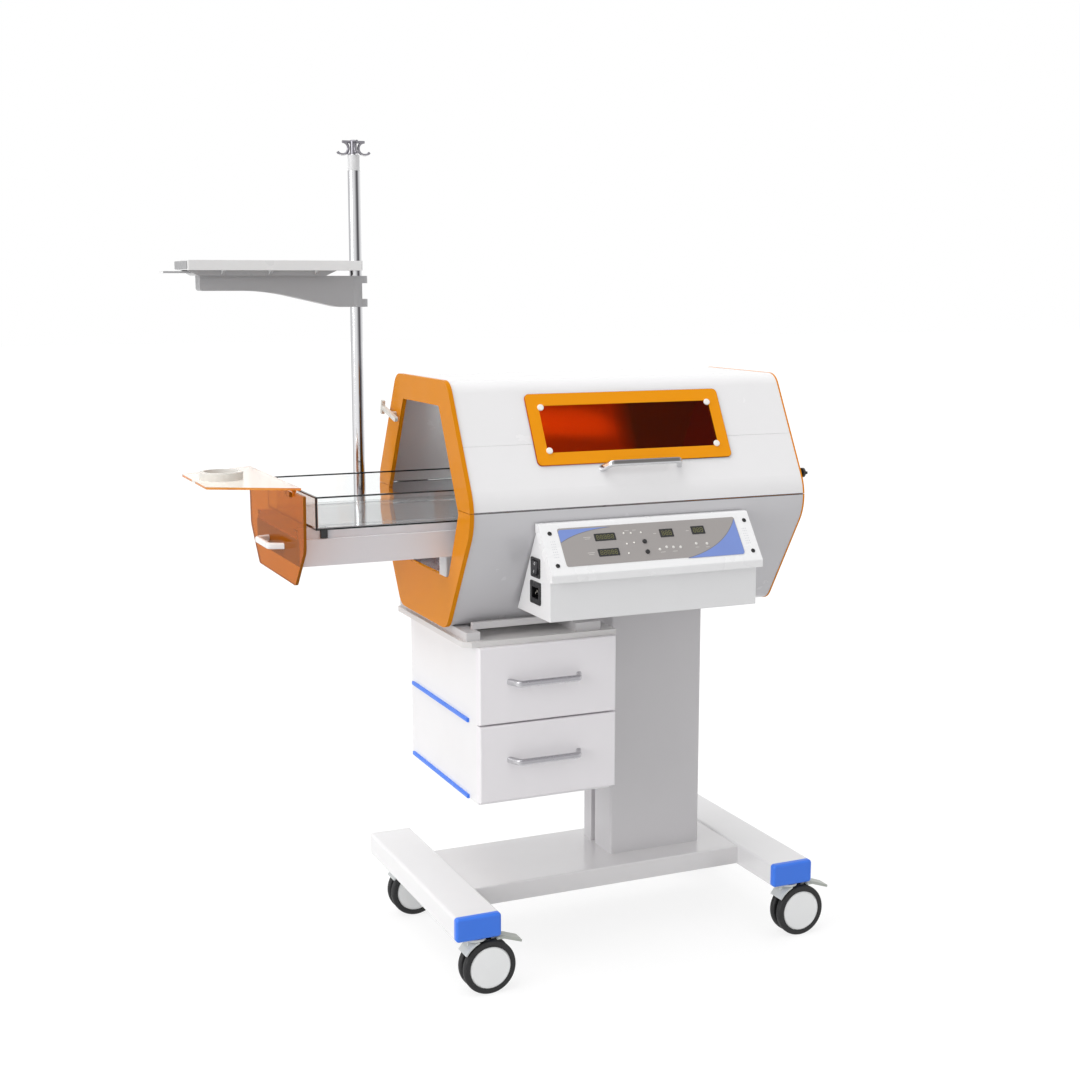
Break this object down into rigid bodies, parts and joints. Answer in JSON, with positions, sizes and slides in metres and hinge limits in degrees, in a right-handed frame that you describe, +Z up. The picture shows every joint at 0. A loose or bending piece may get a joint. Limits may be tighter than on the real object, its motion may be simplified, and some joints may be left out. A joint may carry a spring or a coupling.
{
  "type": "infant incubator",
  "caption": "Wheeled infant incubator with an octagonal tilting hood, a slide-out clear bed, a sloping control panel, a drawer cabinet and a pole with a shelf and drip hooks.",
  "frame": {"origin": "on the floor, under the middle of the base between the two legs", "axes": "+X along the cabin to the right as seen from the front, +Y towards the back, +Z up"},
  "size_m": [1.1653, 0.634, 1.528],
  "materials": {
    "leg_paint": "satin",
    "beam_paint": "satin",
    "blue_cap": "satin",
    "caster_grey": "satin",
    "hub_grey": "gloss",
    "tyre_black": "matt",
    "pedal_grey": "matt",
    "column_paint": "satin",
    "support_paint": "satin",
    "cabinet_paint": "satin",
    "cabinet_top_grey": "matt",
    "strip_blue": "satin",
    "drawer_paint": "satin",
    "handle_white": "gloss",
    "hood_handle_white": "gloss",
    "door_handle_white": "gloss",
    "lower_shell_white": "gloss",
    "hood_white": "gloss",
    "frame_orange": "gloss",
    "window_orange": "clear tinted",
    "screw_white": "gloss",
    "hinge_grey": "satin",
    "catch_black": "matt",
    "latch_white": "satin",
    "rail_grey": "satin",
    "carriage_grey": "satin",
    "bed_clear": "clear",
    "clip_black": "matt",
    "door_orange": "clear tinted",
    "flap_clear": "clear tinted",
    "reflector_metal": "polished",
    "lamp_glass": "frosted",
    "box_white": "satin",
    "bezel_white": "satin",
    "overlay_beige": "satin",
    "button_black": "matt",
    "rocker_black": "gloss",
    "entry_black": "matt",
    "bracket_grey": "satin",
    "pole_chrome": "polished",
    "arm_grey": "satin",
    "board_grey": "satin"
  },
  "bodies": {
    "stand": {"base_leg_left": "leg_paint", "base_leg_right": "leg_paint", "base_crossbeam": "beam_paint", "leg_end_caps": "blue_cap", "column": "column_paint", "cabin_support_frame": "support_paint", "cabinet_carcass": "cabinet_paint", "cabinet_top": "cabinet_top_grey", "cabinet_side_strips": "strip_blue", "lower_shell": "lower_shell_white", "end_frame_lower": "frame_orange", "end_plate_lower": "frame_orange", "hood_hinge_lower": "hinge_grey", "tray_rails": "rail_grey", "lamp_reflector": "reflector_metal", "lamp_tubes": "lamp_glass", "control_box": "box_white", "control_bezel": "bezel_white", "control_overlay": "overlay_beige", "power_entry": "entry_black", "pole_bracket": "bracket_grey", "drip_pole": "pole_chrome"},
    "caster_front_left": {"caster_housing_front_left": "caster_grey"},
    "wheel_front_left": {"caster_hubs_front_left": "hub_grey", "caster_tyres_front_left": "tyre_black"},
    "pedal_front_left": {"brake_pedal_front_left": "pedal_grey"},
    "caster_front_right": {"caster_housing_front_right": "caster_grey"},
    "wheel_front_right": {"caster_hubs_front_right": "hub_grey", "caster_tyres_front_right": "tyre_black"},
    "pedal_front_right": {"brake_pedal_front_right": "pedal_grey"},
    "caster_rear_left": {"caster_housing_rear_left": "caster_grey"},
    "wheel_rear_left": {"caster_hubs_rear_left": "hub_grey", "caster_tyres_rear_left": "tyre_black"},
    "caster_rear_right": {"caster_housing_rear_right": "caster_grey"},
    "wheel_rear_right": {"caster_hubs_rear_right": "hub_grey", "caster_tyres_rear_right": "tyre_black"},
    "drawer_upper_unit": {"drawer_upper": "drawer_paint", "drawer_handle_upper": "handle_white"},
    "drawer_lower_unit": {"drawer_lower": "drawer_paint", "drawer_handle_lower": "handle_white"},
    "hood": {"hood_shell": "hood_white", "end_frame_upper": "frame_orange", "end_plate_upper": "frame_orange", "window_pane": "window_orange", "window_screws": "screw_white", "hood_handle": "hood_handle_white", "hood_hinge_upper": "hinge_grey"},
    "catch": {"hood_catch": "catch_black"},
    "latch": {"flap_latch": "latch_white"},
    "bed_drawer": {"bed_carriage": "carriage_grey", "bed_tray": "bed_clear", "bed_clips": "clip_black", "end_door": "door_orange", "door_handle": "door_handle_white"},
    "flap": {"door_flap": "flap_clear"},
    "shelf": {"shelf_arm": "arm_grey", "shelf_board": "board_grey"},
    "rocker": {"rocker_switch": "rocker_black"},
    "button_upper": {"push_button_upper": "button_black"},
    "button_lower": {"push_button_lower": "button_black"}
  },
  "joints": [
    {"name": "swivel_front_left", "type": "hinge", "parent": "stand", "child": "caster_front_left", "pos_m": [-0.3263, -0.226, 0.1], "axis": [0, 0, 1], "continuous": true},
    {"name": "spin_front_left", "type": "hinge", "parent": "caster_front_left", "child": "wheel_front_left", "pos_m": [-0.3043, -0.226, 0.05], "axis": [0, 1, 0], "continuous": true},
    {"name": "brake_front_left", "type": "hinge", "parent": "caster_front_left", "child": "pedal_front_left", "pos_m": [-0.2853, -0.226, 0.1009], "axis": [0, 1, 0], "range_deg": [0, 15]},
    {"name": "swivel_front_right", "type": "hinge", "parent": "stand", "child": "caster_front_right", "pos_m": [0.3263, -0.226, 0.1], "axis": [0, 0, 1], "continuous": true},
    {"name": "spin_front_right", "type": "hinge", "parent": "caster_front_right", "child": "wheel_front_right", "pos_m": [0.3483, -0.226, 0.05], "axis": [0, 1, 0], "continuous": true},
    {"name": "brake_front_right", "type": "hinge", "parent": "caster_front_right", "child": "pedal_front_right", "pos_m": [0.3673, -0.226, 0.1009], "axis": [0, 1, 0], "range_deg": [0, 15]},
    {"name": "swivel_rear_left", "type": "hinge", "parent": "stand", "child": "caster_rear_left", "pos_m": [-0.3263, 0.173, 0.1], "axis": [0, 0, 1], "continuous": true},
    {"name": "spin_rear_left", "type": "hinge", "parent": "caster_rear_left", "child": "wheel_rear_left", "pos_m": [-0.3043, 0.173, 0.05], "axis": [0, 1, 0], "continuous": true},
    {"name": "swivel_rear_right", "type": "hinge", "parent": "stand", "child": "caster_rear_right", "pos_m": [0.3263, 0.173, 0.1], "axis": [0, 0, 1], "continuous": true},
    {"name": "spin_rear_right", "type": "hinge", "parent": "caster_rear_right", "child": "wheel_rear_right", "pos_m": [0.3483, 0.173, 0.05], "axis": [0, 1, 0], "continuous": true},
    {"name": "drawer_upper_slide", "type": "slide", "parent": "stand", "child": "drawer_upper_unit", "axis": [0, -1, 0], "range_m": [0, 0.25]},
    {"name": "drawer_lower_slide", "type": "slide", "parent": "stand", "child": "drawer_lower_unit", "axis": [0, -1, 0], "range_m": [0, 0.25]},
    {"name": "hood_hinge", "type": "hinge", "parent": "stand", "child": "hood", "pos_m": [0, 0.2505, 0.871], "axis": [-1, 0, 0], "range_deg": [0, 65]},
    {"name": "catch_turn", "type": "hinge", "parent": "hood", "child": "catch", "pos_m": [0.3355, -0.224, 0.908], "axis": [1, 0, 0], "range_deg": [0, 90]},
    {"name": "latch_turn", "type": "hinge", "parent": "hood", "child": "latch", "pos_m": [-0.343, 0.138, 1.014], "axis": [1, 0, 0], "range_deg": [0, 105]},
    {"name": "bed_slide", "type": "slide", "parent": "stand", "child": "bed_drawer", "axis": [1, 0, 0], "range_m": [0, 0.265]},
    {"name": "flap_hinge", "type": "hinge", "parent": "bed_drawer", "child": "flap", "pos_m": [-0.616, 0, 0.914], "axis": [0, 1, 0], "range_deg": [0, 90]},
    {"name": "shelf_swivel", "type": "hinge", "parent": "stand", "child": "shelf", "pos_m": [-0.375, 0.26, 1.2425], "axis": [0, 0, 1], "range_deg": [-35, 35]},
    {"name": "rocker_tip", "type": "hinge", "parent": "stand", "child": "rocker", "pos_m": [-0.212, -0.238, 0.7695], "axis": [0, -1, 0], "range_deg": [0, 14]},
    {"name": "button_upper_press", "type": "slide", "parent": "stand", "child": "button_upper", "axis": [0, 0.8036, -0.5952], "range_m": [0, 0.0012], "stiffness_N_per_m": 500, "springref_m": -0.0005},
    {"name": "button_lower_press", "type": "slide", "parent": "stand", "child": "button_lower", "axis": [0, 0.8036, -0.5952], "range_m": [0, 0.0012], "stiffness_N_per_m": 500, "springref_m": -0.0005}
  ]
}
